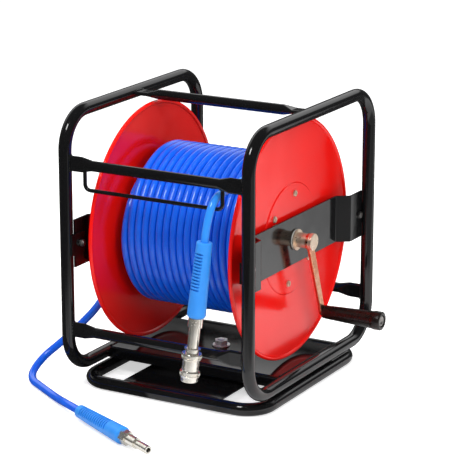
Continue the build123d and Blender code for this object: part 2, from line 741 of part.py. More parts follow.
# Working end: lies beside the outer layer, clear of it as the drum turns, leaves at the top,
# runs to the guide and hangs down
tail_r = (core_r + hose_r + tail_lift) / cos(radians(tail_step / 2))
tail_x = (last + way * hose_d).X + hose_d + tail_clear
tail_points = []
for step in range(round((tail_to - tail_from) / tail_step) + 1):
    swept = radians(tail_from + tail_step * step)
    tail_points.append((tail_x, -tail_r * cos(swept), axle_z - tail_r * sin(swept)))
lean = Vector(*tail_lean).normalized()
corner = Vector(*guide_corner)
tail_end = corner + lean * tail_free
tail_points += [guide_corner, tuple(tail_end)]
tail_radii = cord_radii(tail_points)
tail_radii[-1] = guide_turn_r
with BuildPart() as hose_tail:
    with BuildLine() as run:
        FilletPolyline(*tail_points, radius=tail_radii)
    with BuildSketch(Plane(origin=run.line @ 0, z_dir=run.line % 0)):
        Circle(hose_r)
    sweep()
finish(hose_tail, "hose_tail")
print("tail radii", [round(r) for r in tail_radii], f"length {run.wire().length:.0f} mm, volume ratio "
      f"{hose_tail.part.volume / (pi * hose_r**2 * run.wire().length):.4f}")


def turned(origin, way):
    """Sketch plane whose X runs along the turning axis from the origin."""
    side = Vector(0, 1, 0).cross(Vector(*way)).normalized()
    return Plane(origin=origin, x_dir=way, z_dir=side)


def ribbed(length, radius, end_radius):
    """Half outline of a moulded bend guard: plain entry, ribs, plain rounded end."""
    def wall(at):
        return radius + (end_radius - radius) * at / length

    points = [(0, 0), (0, radius - guard_lip), (guard_lip, wall(guard_lip))]
    for i in range(guard_ribs):
        near = guard_plain_top + i * guard_rib_pitch
        far = near + guard_rib_slot
        points += [(near, wall(near)), (near, wall(near) - guard_rib_deep),
                   (far, wall(far) - guard_rib_deep), (far, wall(far))]
    rounded, inward = length - guard_round, round_share * guard_round
    points += [(rounded, wall(rounded)), (length - inward, end_radius - inward),
               (length, end_radius - guard_round), (length, 0)]
    return points


# Bend guard at the working end
with BuildPart() as tail_guard:
    with BuildSketch(turned(tail_end, lean)):
        with BuildLine():
            Polyline(*ribbed(guard_long, guard_r, guard_end_r), close=True)
        make_face()
    revolve(axis=Axis(tail_end, lean))
finish(tail_guard, "tail_guard")

# Quick coupler: ferrule, neck and socket in one body, with a sliding release sleeve
coupler_at = tail_end + lean * guard_long
with BuildPart() as coupler_body:
    with BuildSketch(turned(coupler_at, lean)):
        with BuildLine():
            neck_end = ferrule_long + neck_run
            body_from = neck_end + collar_long
            body_end = body_from + socket_body_long
            nose_from, socket_floor = body_end - nose_long, body_end - socket_deep
            Polyline((0, 0), (0, ferrule_r), (ferrule_long, ferrule_r), (ferrule_long, neck_r),
                     (neck_end, neck_r), (neck_end, collar_r), (body_from, collar_r),
                     (body_from, socket_body_r), (nose_from, socket_body_r), (nose_from, nose_r),
                     (body_end - edge_break, nose_r),
                     (body_end, nose_r - edge_break), (body_end, socket_r), (socket_floor, socket_r),
                     (socket_floor, 0), close=True)
        make_face()
    revolve(axis=Axis(coupler_at, lean))
finish(coupler_body, "coupler_body")

with BuildPart() as coupler_sleeve:
    with BuildSketch(turned(coupler_at, lean)):
        with BuildLine():
            sleeve_end = body_end - nose_long - face_gap
            sleeve_from = sleeve_end - sleeve_long
            bore = socket_body_r + running_fit
            waist_in = sleeve_ring + sleeve_r - sleeve_waist_r
            Polyline((sleeve_from, bore), (sleeve_from, sleeve_r - edge_break),
                     (sleeve_from + edge_break, sleeve_r), (sleeve_from + sleeve_ring, sleeve_r),
                     (sleeve_from + waist_in, sleeve_waist_r), (sleeve_end - waist_in, sleeve_waist_r),
                     (sleeve_end - sleeve_ring, sleeve_r), (sleeve_end - edge_break, sleeve_r),
                     (sleeve_end, sleeve_r - edge_break), (sleeve_end, bore), close=True)
        make_face()
    revolve(axis=Axis(coupler_at, lean))
finish(coupler_sleeve, "coupler_sleeve")

# Inlet swivel on the axle's left stub, with the spigot and crimp that the lead leaves from
inlet_axis = Vector(*inlet_way).normalized()
inlet_mid = Vector(inlet_mid_x, 0, axle_z)
with BuildPart() as inlet_body:
    with BuildSketch(axle_plane):
        with BuildLine():
            far = inlet_x + inlet_long
            near = inlet_x + face_gap
            bore, floor = stub_r + running_fit, inlet_end + face_gap
            Polyline((-near, bore), (-near, inlet_r), (-far + inlet_edge, inlet_r),
                     (-far, inlet_r - inlet_edge), (-far, 0), (-floor, 0), (-floor, bore), close=True)
        make_face()
    revolve(axis=axle_line)
    spigot_from = stub_r + spigot_off
    with BuildSketch(Plane(origin=inlet_mid + inlet_axis * spigot_from, z_dir=inlet_axis)):
        Circle(spigot_r)
    extrude(amount=crimp_from - spigot_from)
finish(inlet_body, "inlet_body")

with BuildPart() as lead_crimp:
    with BuildSketch(Plane(origin=inlet_mid + inlet_axis * crimp_from, z_dir=inlet_axis)):
        Circle(crimp_r)
    extrude(amount=crimp_long)
    chamfer(lead_crimp.edges().group_by(Axis.Z)[0], edge_break)
finish(lead_crimp, "lead_crimp")

# Supply lead
lead_start = inlet_mid + inlet_axis * (crimp_from + crimp_long)
lead_route = [tuple(lead_start), tuple(lead_start + inlet_axis * lead_first)] + lead_points
lead_radii = cord_radii(lead_route)
with BuildPart() as supply_lead:
    with BuildLine() as run:
        FilletPolyline(*lead_route, radius=lead_radii)
    with BuildSketch(Plane(origin=run.line @ 0, z_dir=run.line % 0)):
        Circle(hose_r)
    sweep()
finish(supply_lead, "supply_lead")
print("lead radii", [round(r) for r in lead_radii], f"length {run.wire().length:.0f} mm, volume ratio "
      f"{supply_lead.part.volume / (pi * hose_r**2 * run.wire().length):.4f}, lowest "
      f"{supply_lead.part.bounding_box().min.Z:.2f}")

# Bend guard and male plug at the far end of the lead
lead_end = Vector(*lead_points[-1])
lead_way = (Vector(*lead_points[-1]) - Vector(*lead_points[-2]))
lead_way = Vector(lead_way.X, lead_way.Y, 0).normalized()
with BuildPart() as lead_guard:
    with BuildSketch(turned(lead_end, lead_way)):
        with BuildLine():
            Polyline(*ribbed(lead_guard_long, lead_guard_r, lead_guard_end_r), close=True)
        make_face()
    revolve(axis=Axis(lead_end, lead_way))
finish(lead_guard, "lead_guard")

plug_at = lead_end + lead_way * lead_guard_long
with BuildPart() as lead_plug:
    with BuildSketch(Plane(origin=plug_at, z_dir=lead_way)):
        RegularPolygon(plug_hex / 2, 6, major_radius=False)
    extrude(amount=plug_hex_long)
    with BuildSketch(turned(plug_at, lead_way)):
        with BuildLine():
            a = plug_hex_long
            b = a + plug_body_long
            c = b + plug_waist_long
            d = c + plug_tip_long
            Polyline((a, 0), (a, plug_body_r), (b, plug_body_r), (b, plug_waist_r), (c, plug_waist_r),
                     (c, plug_tip_r), (d - edge_break, plug_tip_r), (d, plug_tip_r - edge_break),
                     (d, plug_bore_r), (d - plug_bore_deep, plug_bore_r), (d - plug_bore_deep, 0), close=True)
        make_face()
    revolve(axis=Axis(plug_at, lead_way))
finish(lead_plug, "lead_plug")
print("axle_z", axle_z, "pin", round(pin_y, 3), round(pin_z, 3), "grip", grip_x, grip_end_x)
print("coupler at", tuple(round(v, 3) for v in coupler_at), "lean", tuple(round(v, 5) for v in lean),
      "body end", body_end, "sleeve", sleeve_from, sleeve_end)
print("plug at", tuple(round(v, 3) for v in plug_at), "way", tuple(round(v, 5) for v in lead_way))
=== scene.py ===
from math import copysign, cos, pi, radians, sin, sqrt

import bmesh
import bpy
from mathutils import Matrix, Vector


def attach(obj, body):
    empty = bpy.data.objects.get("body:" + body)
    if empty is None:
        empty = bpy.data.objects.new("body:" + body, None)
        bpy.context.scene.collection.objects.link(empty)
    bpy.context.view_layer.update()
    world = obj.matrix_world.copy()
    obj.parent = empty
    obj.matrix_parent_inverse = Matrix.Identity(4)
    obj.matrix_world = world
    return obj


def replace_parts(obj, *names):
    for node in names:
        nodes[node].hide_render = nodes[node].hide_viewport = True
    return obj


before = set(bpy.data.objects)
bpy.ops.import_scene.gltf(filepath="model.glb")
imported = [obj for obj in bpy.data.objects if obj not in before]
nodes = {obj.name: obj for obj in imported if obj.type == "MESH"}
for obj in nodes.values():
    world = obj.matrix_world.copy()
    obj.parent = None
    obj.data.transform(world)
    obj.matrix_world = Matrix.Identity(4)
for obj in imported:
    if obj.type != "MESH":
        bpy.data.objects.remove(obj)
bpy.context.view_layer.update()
scene = bpy.context.scene
for leftOver in ("Cube", "Light", "Camera"):
    if leftOver in bpy.data.objects and leftOver not in nodes:
        bpy.data.objects.remove(bpy.data.objects[leftOver])
print("frame loaded:", len(nodes), "nodes")


# shader nodes
def noiseOn(tree, scale, detail, stretch=(1, 1, 1)):
    where = tree.nodes.new("ShaderNodeTexCoord")
    turn = tree.nodes.new("ShaderNodeMapping")
    turn.inputs["Scale"].default_value = stretch
    noise = tree.nodes.new("ShaderNodeTexNoise")
    noise.inputs["Scale"].default_value = scale
    noise.inputs["Detail"].default_value = detail
    tree.links.new(where.outputs["Object"], turn.inputs["Vector"])
    tree.links.new(turn.outputs["Vector"], noise.inputs["Vector"])
    return noise.outputs["Fac"]


def spread(tree, value, low, high, fromLow, fromHigh):
    span = tree.nodes.new("ShaderNodeMapRange")
    span.inputs["From Min"].default_value = fromLow
    span.inputs["From Max"].default_value = fromHigh
    span.inputs["To Min"].default_value = low
    span.inputs["To Max"].default_value = high
    tree.links.new(value, span.inputs["Value"])
    return span.outputs["Result"]


def combine(tree, operation, one, two):
    result = tree.nodes.new("ShaderNodeMath")
    result.operation = operation
    tree.links.new(one, result.inputs[0])
    tree.links.new(two, result.inputs[1])
    return result.outputs[0]


def reachAlong(tree, place, way):
    dot = tree.nodes.new("ShaderNodeVectorMath")
    dot.operation = "DOT_PRODUCT"
    dot.inputs[1].default_value = way
    tree.links.new(place, dot.inputs[0])
    return dot.outputs["Value"]


def blendColours(tree, value, stops):
    ramp = tree.nodes.new("ShaderNodeValToRGB")
    ramp.color_ramp.elements[0].position = stops[0][0]
    ramp.color_ramp.elements[0].color = (*stops[0][1], 1)
    ramp.color_ramp.elements[1].position = stops[-1][0]
    ramp.color_ramp.elements[1].color = (*stops[-1][1], 1)
    for place, colour in stops[1:-1]:
        ramp.color_ramp.elements.new(place).color = (*colour, 1)
    tree.links.new(value, ramp.inputs["Fac"])
    return ramp.outputs["Color"]


# materials: cloud varies the colour, wear the gloss, grain is the relief of the coat or the mould
paint = {"cloudDetail": 3, "wear": 35, "wearDetail": 4, "wearSpan": (0.8, 1.3), "grainDetail": 1,
         "grainStretch": (1, 1, 1), "grainHeight": 0.0004}
plating = {"cloudDetail": 3, "wear": 260, "wearDetail": 3, "wearSpan": (0.7, 1.4), "grainDetail": 2,
           "grainStretch": (1, 1, 0.25), "grainHeight": 0.0002}
plastic = {"cloudDetail": 2, "wear": 90, "wearDetail": 3, "wearSpan": (0.85, 1.2), "grainDetail": 2,
           "grainStretch": (1, 1, 1), "grainHeight": 0.0003}
noiseSpan = (0.3, 0.7)  # where most of the noise lies


def newMaterial(name, kind, look):
    mat = bpy.data.materials.new(name)
    mat.use_nodes = True
    tree = mat.node_tree
    shader = tree.nodes["Principled BSDF"]
    shader.inputs["Base Color"].default_value = (*look["colour"], 1)
    shader.inputs["Roughness"].default_value = look["rough"]
    shader.inputs["Metallic"].default_value = look.get("metal", 0)
    shader.inputs["IOR"].default_value = look.get("ior", 1.5)
    shader.inputs["Coat Weight"].default_value = look.get("coat", 0)
    shader.inputs["Coat Roughness"].default_value = look.get("coatRough", 0.05)

    tint = blendColours(tree, noiseOn(tree, look["cloud"], kind["cloudDetail"]), look["stops"])
    tree.links.new(tint, shader.inputs["Base Color"])
    least, most = (look["rough"] * share for share in kind["wearSpan"])
    rub = spread(tree, noiseOn(tree, kind["wear"], kind["wearDetail"]), least, most, *noiseSpan)
    tree.links.new(rub, shader.inputs["Roughness"])
    bump = tree.nodes.new("ShaderNodeBump")
    bump.inputs["Strength"].default_value = look["grainDeep"]
    bump.inputs["Distance"].default_value = kind["grainHeight"]
    heights = noiseOn(tree, look["grain"], kind["grainDetail"], kind["grainStretch"])
    tree.links.new(heights, bump.inputs["Height"])
    tree.links.new(bump.outputs["Normal"], shader.inputs["Normal"])
    return mat


frameBlack = newMaterial("frameBlack", paint, {
    "colour": (0.003, 0.003, 0.0033),
    "stops": [(0.3, (0.003, 0.003, 0.0033)), (0.75, (0.005, 0.005, 0.0055))],
    "rough": 0.11, "ior": 1.52, "cloud": 7, "grain": 420, "grainDeep": 0.03})
discRed = newMaterial("discRed", paint, {
    "colour": (0.80, 0.005, 0.003), "stops": [(0.3, (0.80, 0.005, 0.003)), (0.75, (0.86, 0.008, 0.005))],
    "rough": 0.16, "ior": 1.5, "cloud": 7, "grain": 300, "grainDeep": 0.03})
brightZinc = newMaterial("brightZinc", plating, {
    "colour": (0.86, 0.86, 0.86), "stops": [(0.3, (0.8, 0.81, 0.83)), (0.7, (0.92, 0.91, 0.89))],
    "rough": 0.36, "metal": 0.65, "cloud": 120, "grain": 1400, "grainDeep": 0.08})
yellowZinc = newMaterial("yellowZinc", plating, {
    "colour": (0.78, 0.42, 0.25), "stops": [(0.28, (0.62, 0.27, 0.15)), (0.45, (0.76, 0.36, 0.21)),
                                            (0.58, (0.80, 0.41, 0.27)), (0.75, (0.70, 0.42, 0.21))],
    "rough": 0.3, "metal": 1, "cloud": 45, "grain": 1400, "grainDeep": 0.08})
paleZinc = newMaterial("paleZinc", plating, {
    "colour": (0.86, 0.68, 0.52), "stops": [(0.3, (0.82, 0.62, 0.45)), (0.5, (0.90, 0.74, 0.58)),
                                            (0.7, (0.88, 0.68, 0.54))],
    "rough": 0.36, "metal": 0.85, "cloud": 60, "grain": 1400, "grainDeep": 0.03})
brightNickel = newMaterial("brightNickel", plating, {
    "colour": (0.84, 0.8, 0.72), "stops": [(0.3, (0.82, 0.78, 0.69)), (0.7, (0.92, 0.89, 0.82))],
    "rough": 0.2, "metal": 0.92, "cloud": 80, "grain": 1400, "grainDeep": 0.02})
oiledSteel = newMaterial("oiledSteel", plating, {
    "colour": (0.3, 0.29, 0.28), "stops": [(0.3, (0.2, 0.19, 0.18)), (0.7, (0.36, 0.35, 0.34))],
    "rough": 0.32, "metal": 1, "cloud": 60, "grain": 1400, "grainDeep": 0.08})
hoseBlue = newMaterial("hoseBlue", plastic, {
    "colour": (0.003, 0.1, 0.72), "stops": [(0.3, (0.003, 0.1, 0.72)), (0.75, (0.005, 0.125, 0.80))],
    "rough": 0.2, "ior": 1.5, "coat": 0.3, "coatRough": 0.08, "cloud": 30, "grain": 500, "grainDeep": 0.05})
# the hanging tail's hose: the wound hose's blue made lighter, painted light standing in for the front light
# and highlight on the tail
tailPaintedLitBlue = newMaterial("tailPaintedLitBlue", plastic, {
    "colour": (0.02, 0.23, 0.82), "stops": [(0.3, (0.02, 0.23, 0.82)), (0.75, (0.03, 0.27, 0.87))],
    "rough": 0.2, "ior": 1.5, "coat": 0.3, "coatRough": 0.08, "cloud": 30, "grain": 500, "grainDeep": 0.05})
guardBlue = newMaterial("guardBlue", plastic, {
    "colour": (0.022, 0.245, 0.77), "stops": [(0.3, (0.022, 0.245, 0.77)), (0.75, (0.03, 0.28, 0.82))],
    "rough": 0.38, "ior": 1.48, "cloud": 60, "grain": 900, "grainDeep": 0.08})
gripBlack = newMaterial("gripBlack", plastic, {
    "colour": (0.005, 0.003, 0.0025), "stops": [(0.3, (0.005, 0.003, 0.0025)), (0.75, (0.009, 0.006, 0.005))],
    "rough": 0.28, "ior": 1.46, "cloud": 70, "grain": 1100, "grainDeep": 0.12})
whiteNylon = newMaterial("whiteNylon", plastic, {
    "colour": (0.7, 0.68, 0.62), "stops": [(0.3, (0.7, 0.68, 0.62)), (0.75, (0.74, 0.72, 0.67))],
    "rough": 0.5, "cloud": 90, "grain": 1300, "grainDeep": 0.1})
print("materials made:", len(bpy.data.materials))

finishes = (
    (frameBlack, ("base_loop", "base_plate", "hoop_", "bar_", "guide_wire", "turn_plate", "side_plate_",
                  "lug_")),
    (discRed, ("disc_left", "disc_right", "hub_flange_", "drum_barrel")),
    (brightZinc, ("plate_bolt_", "disc_screws_", "pivot_", "crank_pin")),
    (paleZinc, ("crank_washer", "crank_sleeve", "crank_cap")),
    (brightNickel, ("coupler_", "lead_plug", "lead_crimp", "inlet_body", "feed_nipple")),
    (oiledSteel, ("race_", "axle")),
    (whiteNylon, ("axle_bush_", "thrust_ring")),
    (gripBlack, ("grip",)),
    (hoseBlue, ("wind_core", "hose_")),
    (guardBlue, ("tail_guard", "lead_guard")),
)
for mat, starts in finishes:
    for nodeName, node in nodes.items():
        if nodeName.startswith(starts):
            node.data.materials.clear()
            node.data.materials.append(mat)


# shared steps
mergeWithin, sharpOver = 1e-6, 35


def addPiece(name, data, mat, body):
    piece = bpy.data.objects.new(name, data)
    scene.collection.objects.link(piece)
    data.materials.clear()
    data.materials.append(mat)
    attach(piece, body)
    return piece


def shaded(mesh, sharp):
    mesh.shade_smooth()
    mesh.set_sharp_from_angle(angle=radians(sharp))
    return mesh


def meshFrom(bm, name, sharp=sharpOver):
    mesh = bpy.data.meshes.new(name)
    bm.to_mesh(mesh)
    bm.free()
    return shaded(mesh, sharp)


def joined(parts):
    whole = bmesh.new()
    for part in parts:
        step = bpy.data.meshes.new("step")
        part.to_mesh(step)
        part.free()
        whole.from_mesh(step)
        bpy.data.meshes.remove(step)
    return whole


def cutAway(bm, cutter, name):
    solid = bpy.data.objects.new(name, meshFrom(bm, name))
    tool = bpy.data.objects.new(name + "Tool", meshFrom(cutter, name + "Tool"))
    for each in (solid, tool):
        scene.collection.objects.link(each)
    cut = solid.modifiers.new("cut", "BOOLEAN")
    cut.operation = "DIFFERENCE"
    cut.solver = "EXACT"
    cut.object = tool
    bpy.context.view_layer.update()
    mesh = bpy.data.meshes.new_from_object(solid.evaluated_get(bpy.context.evaluated_depsgraph_get()))
    mesh.name = name
    for each in (solid, tool):
        old = each.data
        bpy.data.objects.remove(each)
        bpy.data.meshes.remove(old)
    return shaded(mesh, sharpOver)


def spun(outline, steps):
    bm = bmesh.new()  # outline is (along, radius), spun round local Z
    ring = [bm.verts.new((radius, 0, along)) for along, radius in outline]
    for one, two in zip(ring, ring[1:]):
        bm.edges.new((one, two))
    bmesh.ops.spin(bm, geom=bm.verts[:] + bm.edges[:], cent=(0, 0, 0), axis=(0, 0, 1), angle=2 * pi,
                   steps=steps, use_merge=True, use_duplicate=False)
    bmesh.ops.remove_doubles(bm, verts=bm.verts, dist=mergeWithin)
    bmesh.ops.recalc_face_normals(bm, faces=bm.faces)
    return bm


def arcOf(middle, radius, start, end, count):
    angles = [radians(start + (end - start) * i / count) for i in range(count + 1)]
    return [(middle[0] + radius * cos(a), middle[1] + radius * sin(a)) for a in angles]


def standing(origin, way, side):
    z = Vector(way).normalized()
    y = (Vector(side) - z * z.dot(Vector(side))).normalized()
    return Matrix.Translation(origin) @ Matrix((y.cross(z), y, z)).transposed().to_4x4()


def tubeCurve(name, runs, radius, around, fine, closed=False):
    line = bpy.data.curves.new(name, "CURVE")
    line.dimensions = "3D"
    line.bevel_depth = radius
    line.bevel_resolution = around
    line.resolution_u = fine
    line.use_fill_caps = True
    for run in runs:
        spline = line.splines.new("NURBS")
        spline.points.add(len(run) - 1)
        for place, point in zip(spline.points, run):
            place.co = (*point, 1)
        spline.order_u = 3
        spline.use_cyclic_u = closed
        spline.use_endpoint_u = not closed
    return line


alongX, upZ = (1, 0, 0), (0, 0, 1)
axleHeight = 0.235
hose = {"thick": 0.012, "around": 6, "fine": 12, "woundFine": 4}
hoseR = hose["thick"] / 2

# wound hose
winding = {"radius": 0.12178, "pitch": 0.0123, "startX": -0.100, "turns": 15.25, "perTurn": 24,
           "lineShrink": 0.99146, "climbSteps": 4, "climb": 0.038, "sway": 0.00012, "swayRate": 2.7}
reachOut = winding["radius"] / winding["lineShrink"]  # the smooth line runs inside its own points
windPoints = []
for step in range(-winding["climbSteps"], round(winding["turns"] * winding["perTurn"]) + 2):
    turn = step / winding["perTurn"]
    radius = reachOut * (1 + winding["climb"] * min(step, 0))  # the start climbs out of the layer below
    sway = winding["sway"] * sin(winding["swayRate"] * max(step, 0))
    windPoints.append((winding["startX"] + winding["pitch"] * turn + sway, -radius * cos(2 * pi * turn),
                       axleHeight - radius * sin(2 * pi * turn)))
windLine = tubeCurve("outerLayer", [windPoints], hoseR, hose["around"], hose["woundFine"])
outerLayer = addPiece("outerLayer", windLine, hoseBlue, "drum")
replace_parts(outerLayer, "hose_winding")

# layers below it, with the turns showing at both ends and on top
buried = {"top": 0.11568, "barrel": 0.0847, "turns": 17, "layers": 3, "nest": 0.866, "shift": 0.002,
          "past": 55, "endFine": 6, "topFine": 8, "steps": 96}
firstX, past = winding["startX"], buried["past"]
lastX = firstX + winding["pitch"] * (buried["turns"] - 1)
layerRise = hose["thick"] * buried["nest"]
layerRadii = [buried["top"] - hoseR - layerRise * k for k in reversed(range(buried["layers"]))]
topRadius = layerRadii.pop()
outline = [(firstX, buried["barrel"])]
for k, radius in enumerate(layerRadii):
    x = firstX + buried["shift"] * (k % 2)
    outline += arcOf((x, radius), hoseR, 180 + past, 180 - past, buried["endFine"])
for k in range(buried["turns"]):
    fromAngle = 180 + past if k == 0 else 180
    toAngle = -past if k == buried["turns"] - 1 else 0
    outline += arcOf((firstX + winding["pitch"] * k, topRadius), hoseR, fromAngle, toAngle, buried["topFine"])
for k, radius in reversed(list(enumerate(layerRadii))):
    x = lastX - buried["shift"] * (k % 2)
    outline += arcOf((x, radius), hoseR, past, -past, buried["endFine"])
outline.append((lastX, buried["barrel"]))
core = spun(outline, buried["steps"])
core.transform(standing((0, 0, axleHeight), alongX, upZ))
buriedLayers = addPiece("buriedLayers", meshFrom(core, "buriedLayers", 50), hoseBlue, "drum")
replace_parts(buriedLayers, "wind_core")
print("hose wound:", winding["turns"], "turns")

# working end and supply lead
tail = {"length": 0.625, "route": [
    (0.1004, 0.0215, 0.1129), (0.1004, 0.0620, 0.1276), (0.1004, 0.0950, 0.1553), (0.1004, 0.1165, 0.1926),
    (0.1004, 0.1240, 0.2350), (0.1004, 0.1165, 0.2774), (0.1004, 0.0950, 0.3147), (0.1004, 0.0620, 0.3424),
    (0.1004, 0.0215, 0.3571), (0.1004, -0.0215, 0.3571), (0.1008, -0.1503, 0.3455), (0.1010, -0.2120, 0.3400),
    (0.0954, -0.2158, 0.2794)]}
tailLine = tubeCurve("hoseTail", [tail["route"]], hoseR, hose["around"], hose["fine"])
# the tail takes the lighter copy of the hose blue, painted light
hoseTail = addPiece("hoseTail", tailLine, tailPaintedLitBlue, "frame")
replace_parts(hoseTail, "hose_tail")

lead = {"length": 0.474, "route": [
    (-0.1547, -0.0198, 0.1960), (-0.1595, -0.0414, 0.1534), (-0.172, -0.088, 0.105), (-0.196, -0.109, 0.074),
    (-0.216, -0.121, 0.052), (-0.243, -0.147, 0.024), (-0.237, -0.190, 0.0062), (-0.192, -0.218, 0.0062),
    (-0.146, -0.247, 0.0062), (-0.1042, -0.2791, 0.0138), (-0.0738, -0.2943, 0.0138)]}
leadLine = tubeCurve("supplyLead", [lead["route"]], hoseR, hose["around"], hose["fine"])
supplyLead = addPiece("supplyLead", leadLine, hoseBlue, "frame")
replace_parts(supplyLead, "supply_lead")


# ribbed bend guards, slotted on two sides
def bendGuard(name, look):
    far, wide, endWide = look["long"], look["radius"], look["endRadius"]
    lip, soft = look["lip"], look["soft"]
    outline = [(0, 0), (0, look["mouth"])] + arcOf((lip, wide - lip), lip, 180, 90, 4)
    outline += [(far * t, wide + (endWide - wide) * t) for t in (0.2, 0.4, 0.6, 0.8)]
    outline += arcOf((far - soft, endWide - soft), soft, 90, 0, 6) + [(far, 0)]
    body = spun(outline, look["steps"])
    slots = bmesh.new()
    for k in range(look["slots"]):
        height = look["first"] + look["pitch"] * k
        skin = wide + (endWide - wide) * height / far
        outward = skin + wide / 2 - look["slotDeep"]
        for facing in (-1, 1):
            block = bmesh.ops.create_cube(slots, size=1)["verts"]
            bmesh.ops.scale(slots, verts=block, vec=(4 * wide, wide, look["slotWide"]))
            bmesh.ops.translate(slots, verts=block, vec=(0, facing * outward, height))
    mesh = cutAway(body, slots, name)
    mesh.transform(standing(look["origin"], look["way"], look["side"]))
    return mesh


tailGuard = {"origin": (0.09539, -0.21578, 0.27938), "way": (-0.092, -0.062, -0.99383),
             "side": (-0.35, -0.94, 0), "long": 0.115, "radius": 0.0118, "endRadius": 0.0140,
             "mouth": 0.0098, "lip": 0.0015, "soft": 0.005, "slots": 12, "first": 0.0172, "pitch": 0.0049,
             "slotWide": 0.0025, "slotDeep": 0.0042, "steps": 40}
tailGuardPiece = addPiece("tailGuard", bendGuard("tailGuard", tailGuard), guardBlue, "frame")
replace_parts(tailGuardPiece, "tail_guard")
leadGuard = {"origin": (-0.0738, -0.2943, 0.0138), "way": (0.89443, -0.44721, 0),
             "side": (-0.25, -0.5, 0.83), "long": 0.1245, "radius": 0.0100, "endRadius": 0.0134,
             "mouth": 0.0085, "lip": 0.0015, "soft": 0.005, "slots": 14, "first": 0.0142, "pitch": 0.0056,
             "slotWide": 0.0027, "slotDeep": 0.0046, "steps": 40}
leadGuardPiece = addPiece("leadGuard", bendGuard("leadGuard", leadGuard), guardBlue, "frame")
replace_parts(leadGuardPiece, "lead_guard")
print("working end and lead laid")

# quick coupler's release sleeve, with dimpled grip rings
sleeve = {"origin": (0.084808, -0.222912, 0.165087), "way": (-0.092, -0.062, -0.99383), "start": 0.0547,
          "end": 0.0907, "bore": 0.01005, "radius": 0.015, "waist": 0.0128, "ring": 0.008, "edge": 0.001,
          "bandFrom": 0.0026, "bandTo": 0.0066, "dimple": 0.0006, "dimpleRim": 0.0003, "steps": 48}
start, end, bore, wide, edge = (sleeve[key] for key in ("start", "end", "bore", "radius", "edge"))
waist, waistIn = sleeve["waist"], sleeve["ring"] + wide - sleeve["waist"]
outline = [(start, bore), (start, wide - edge)] + arcOf((start + edge, wide - edge), edge, 180, 90, 3)
outline += [(start + sleeve[key], wide) for key in ("bandFrom", "bandTo", "ring")]
outline += [(start + waistIn, waist), (end - waistIn, waist)]
outline += [(end - sleeve[key], wide) for key in ("ring", "bandTo", "bandFrom")]
outline += arcOf((end - edge, wide - edge), edge, 90, 0, 3) + [(end, bore), (start, bore)]
turned = spun(outline, sleeve["steps"])


def inBand(face):
    middle = face.calc_center_median()
    depth = min(middle.z - start, end - middle.z)
    return sleeve["bandFrom"] < depth < sleeve["bandTo"] and middle.xy.length > waist


bands = [face for face in turned.faces if inBand(face)]
bmesh.ops.inset_individual(turned, faces=bands, thickness=sleeve["dimpleRim"], depth=-sleeve["dimple"])
turned.transform(standing(sleeve["origin"], sleeve["way"], (0, 1, 0)))
sleeveMesh = meshFrom(turned, "releaseSleeve", 30)
releaseSleeve = addPiece("releaseSleeve", sleeveMesh, brightNickel, "release_sleeve")
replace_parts(releaseSleeve, "coupler_sleeve")

# crank grip, widening to a collar round the head of the pin
gripShape = {"start": (0.1576, 0.043729, 0.111514), "long": 0.101, "bore": 0.00405, "radius": 0.0104,
             "wideRadius": 0.0136, "endRadius": 0.0146, "collar": 0.016, "collarRise": 0.004, "round": 0.0025,
             "recessRadius": 0.0092, "recess": 0.005, "recessEdge": 0.0008, "steps": 56}
far, narrow, wide, lip = (gripShape[key] for key in ("long", "radius", "wideRadius", "endRadius"))
soft, shoulder = gripShape["round"], far - gripShape["collar"]
inner, edge, floorAt = gripShape["recessRadius"], gripShape["recessEdge"], far - gripShape["recess"]
quarters = (0.25, 0.5, 0.75, 1)
outline = [(0, gripShape["bore"]), (0, narrow - soft)] + arcOf((soft, narrow - soft), soft, 180, 90, 5)
outline += [(soft + (shoulder - soft) * t, narrow + (wide - narrow) * t) for t in quarters]
outline += [(shoulder + gripShape["collarRise"] * t, wide + (lip - wide) * (3 * t * t - 2 * t ** 3))
            for t in quarters]
outline += arcOf((far - soft, lip - soft), soft, 90, 0, 5)
outline += [(far, inner + edge), (far - edge, inner), (floorAt, inner), (floorAt, gripShape["bore"]),
            (0, gripShape["bore"])]
handle = spun(outline, gripShape["steps"])
handle.transform(standing(gripShape["start"], alongX, upZ))
crankGrip = addPiece("crankGrip", meshFrom(handle, "crankGrip", 40), gripBlack, "grip")
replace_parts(crankGrip, "grip")

# riveted crank pin, its dished head at the bottom of the grip's recess
pin = {"start": (0.1523, 0.043729, 0.111514), "long": 0.1016, "radius": 0.004, "headRadius": 0.008,
       "head": 0.0035, "edge": 0.0006, "dishRadius": 0.0056, "dish": 0.0016, "steps": 40}
under, top, wide, edge = pin["long"], pin["long"] + pin["head"], pin["headRadius"], pin["edge"]
outline = [(0, 0), (0, pin["radius"]), (under, pin["radius"]), (under, wide - edge)]
outline += [(under + edge, wide), (top - edge, wide), (top, wide - edge)]
outline += [(top - pin["dish"] * (1 - t * t), pin["dishRadius"] * t) for t in (1, 0.8, 0.6, 0.4, 0.2, 0)]
rivet = spun(outline, pin["steps"])
rivet.transform(standing(pin["start"], alongX, upZ))
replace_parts(addPiece("crankPin", meshFrom(rivet, "crankPin", 30), oiledSteel, "drum"), "crank_pin")
print("sleeve, grip and pin turned")

# pressed, sawn and hexagon parts with broken edges
easing = {"flatWithin": 0.6, "hardOver": 40, "segments": 2, "sharp": 20}


def eased(nodeName, width):
    bm = bmesh.new()
    bm.from_mesh(nodes[nodeName].data)
    bmesh.ops.remove_doubles(bm, verts=bm.verts, dist=mergeWithin)
    bmesh.ops.dissolve_limit(bm, angle_limit=radians(easing["flatWithin"]), verts=bm.verts, edges=bm.edges)
    hard = [edge for edge in bm.edges
            if len(edge.link_faces) == 2 and edge.calc_face_angle() > radians(easing["hardOver"])]
    bmesh.ops.bevel(bm, geom=hard, offset=width, offset_type="OFFSET", segments=easing["segments"],
                    profile=0.5, affect="EDGES", clamp_overlap=True, material=-1)
    return meshFrom(bm, nodeName, easing["sharp"])


